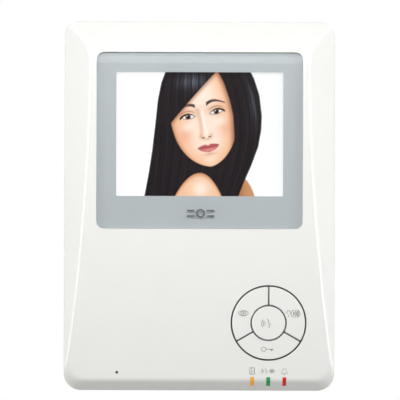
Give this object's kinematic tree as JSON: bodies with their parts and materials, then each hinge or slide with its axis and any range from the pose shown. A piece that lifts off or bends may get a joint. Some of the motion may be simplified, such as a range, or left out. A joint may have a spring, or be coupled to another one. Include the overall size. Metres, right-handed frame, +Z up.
{
  "type": "video intercom monitor",
  "caption": "Wall-mounted video door phone with a bowed glossy cover, framed display, round keypad with sector keys, status lights and a steel hook-on wall bracket.",
  "frame": {"origin": "on the wall plane, at the middle of the bracket's two upright fixing holes, behind the middle of the case", "axes": "+X to the right seen from the front, +Y into the wall, +Z up"},
  "size_m": [0.132, 0.027, 0.18],
  "materials": {
    "glossy_white_abs": "high gloss moulded ABS",
    "textured_white_abs": "fine spark texture",
    "clear_acrylic": "clear, polished",
    "grey_print": "satin grey silkscreen on the back of the lens",
    "black_foam_tape": "closed-cell foam tape",
    "dark_grey_plastic": "satin",
    "grey_silicone": "matt silicone rubber",
    "black_rubber": "matt",
    "aluminium_can": "drawn",
    "zinc_plated_steel": "zinc plated",
    "lcd_glass": "dark polariser",
    "milky_plastic": "diffusing",
    "black_plastic": "fine texture",
    "amber_polyimide": "smooth film",
    "ivory_plastic": "smooth",
    "green_fibreglass": "solder mask over laminate",
    "dark_ferrite": "sintered",
    "yellow_lens": "tinted translucent",
    "green_lens": "tinted translucent",
    "red_lens": "tinted translucent",
    "clear_film": "formed polyester film",
    "red_wire": "insulated wire",
    "black_felt": "woven acoustic cloth",
    "green_plastic": "smooth",
    "red_plastic": "smooth",
    "silver_label": "satin foil, blank"
  },
  "bodies": {
    "bracket": {"wall_bracket": "zinc_plated_steel"},
    "unit": {"board_screws": "zinc_plated_steel", "cable_connector": "ivory_plastic", "capacitors": "aluminium_can", "cover_screws": "zinc_plated_steel", "crystal": "aluminium_can", "dip_body": "red_plastic", "front_cover": "glossy_white_abs", "inductor": "dark_ferrite", "key_guide": "dark_grey_plastic", "key_mat": "grey_silicone", "lcd_backlight": "milky_plastic", "lcd_cable": "amber_polyimide", "lcd_frame": "zinc_plated_steel", "lcd_holder": "black_plastic", "lcd_holder_screws": "zinc_plated_steel", "lcd_panel": "lcd_glass", "led_green": "green_lens", "led_red": "red_lens", "led_yellow": "yellow_lens", "main_board": "green_fibreglass", "main_chip": "black_plastic", "mic_boot": "black_rubber", "mic_capsule": "aluminium_can", "pot_bases": "black_plastic", "rating_label": "silver_label", "rear_cover": "textured_white_abs", "small_parts": "dark_ferrite", "sound_mesh": "black_felt", "speaker_cone": "clear_film", "speaker_connector": "ivory_plastic", "speaker_frame": "zinc_plated_steel", "speaker_gasket": "black_foam_tape", "speaker_leads": "red_wire", "speaker_screws": "zinc_plated_steel", "terminal_header": "green_plastic", "terminal_plug": "green_plastic", "terminal_screws": "zinc_plated_steel", "video_chip": "black_plastic", "window_lens": "clear_acrylic", "window_mask": "grey_print", "window_tape": "black_foam_tape"},
    "key_talk_body": {"key_talk": "glossy_white_abs"},
    "key_view_body": {"key_view": "glossy_white_abs"},
    "key_light_body": {"key_light": "glossy_white_abs"},
    "key_door_body": {"key_door": "glossy_white_abs"},
    "wheel_brightness_body": {"wheel_brightness": "textured_white_abs"},
    "wheel_colour_body": {"wheel_colour": "textured_white_abs"},
    "wheel_volume_body": {"wheel_volume": "textured_white_abs"},
    "dip_lever_1_body": {"dip_lever_1": "ivory_plastic"},
    "dip_lever_2_body": {"dip_lever_2": "ivory_plastic"},
    "dip_lever_3_body": {"dip_lever_3": "ivory_plastic"},
    "dip_lever_4_body": {"dip_lever_4": "ivory_plastic"}
  },
  "joints": [
    {"name": "unit_lift", "type": "slide", "parent": "bracket", "child": "unit", "axis": [0, 0, 1], "range_m": [0, 0.008]},
    {"name": "key_talk_press", "type": "slide", "parent": "unit", "child": "key_talk_body", "axis": [0, 1, 0], "range_m": [0, 0.0009], "stiffness_N_per_m": 800, "springref_m": -0.0005, "deforming": ["key_mat"]},
    {"name": "key_view_press", "type": "slide", "parent": "unit", "child": "key_view_body", "axis": [0, 1, 0], "range_m": [0, 0.0009], "stiffness_N_per_m": 800, "springref_m": -0.0005, "deforming": ["key_mat"]},
    {"name": "key_light_press", "type": "slide", "parent": "unit", "child": "key_light_body", "axis": [0, 1, 0], "range_m": [0, 0.0009], "stiffness_N_per_m": 800, "springref_m": -0.0005, "deforming": ["key_mat"]},
    {"name": "key_door_press", "type": "slide", "parent": "unit", "child": "key_door_body", "axis": [0, 1, 0], "range_m": [0, 0.0009], "stiffness_N_per_m": 800, "springref_m": -0.0005, "deforming": ["key_mat"]},
    {"name": "wheel_brightness_turn", "type": "hinge", "parent": "unit", "child": "wheel_brightness_body", "pos_m": [0.0604, -0.0087, 0.024], "axis": [0, 1, 0], "range_deg": [-135, 135]},
    {"name": "wheel_colour_turn", "type": "hinge", "parent": "unit", "child": "wheel_colour_body", "pos_m": [0.0604, -0.0087, 0.008], "axis": [0, 1, 0], "range_deg": [-135, 135]},
    {"name": "wheel_volume_turn", "type": "hinge", "parent": "unit", "child": "wheel_volume_body", "pos_m": [0.0604, -0.0087, -0.008], "axis": [0, 1, 0], "range_deg": [-135, 135]},
    {"name": "dip_lever_1_slide", "type": "slide", "parent": "unit", "child": "dip_lever_1_body", "axis": [0, 0, 1], "range_m": [0, 0.0012]},
    {"name": "dip_lever_2_slide", "type": "slide", "parent": "unit", "child": "dip_lever_2_body", "axis": [0, 0, 1], "range_m": [0, 0.0012]},
    {"name": "dip_lever_3_slide", "type": "slide", "parent": "unit", "child": "dip_lever_3_body", "axis": [0, 0, 1], "range_m": [0, 0.0012]},
    {"name": "dip_lever_4_slide", "type": "slide", "parent": "unit", "child": "dip_lever_4_body", "axis": [0, 0, 1], "range_m": [0, 0.0012]}
  ]
}
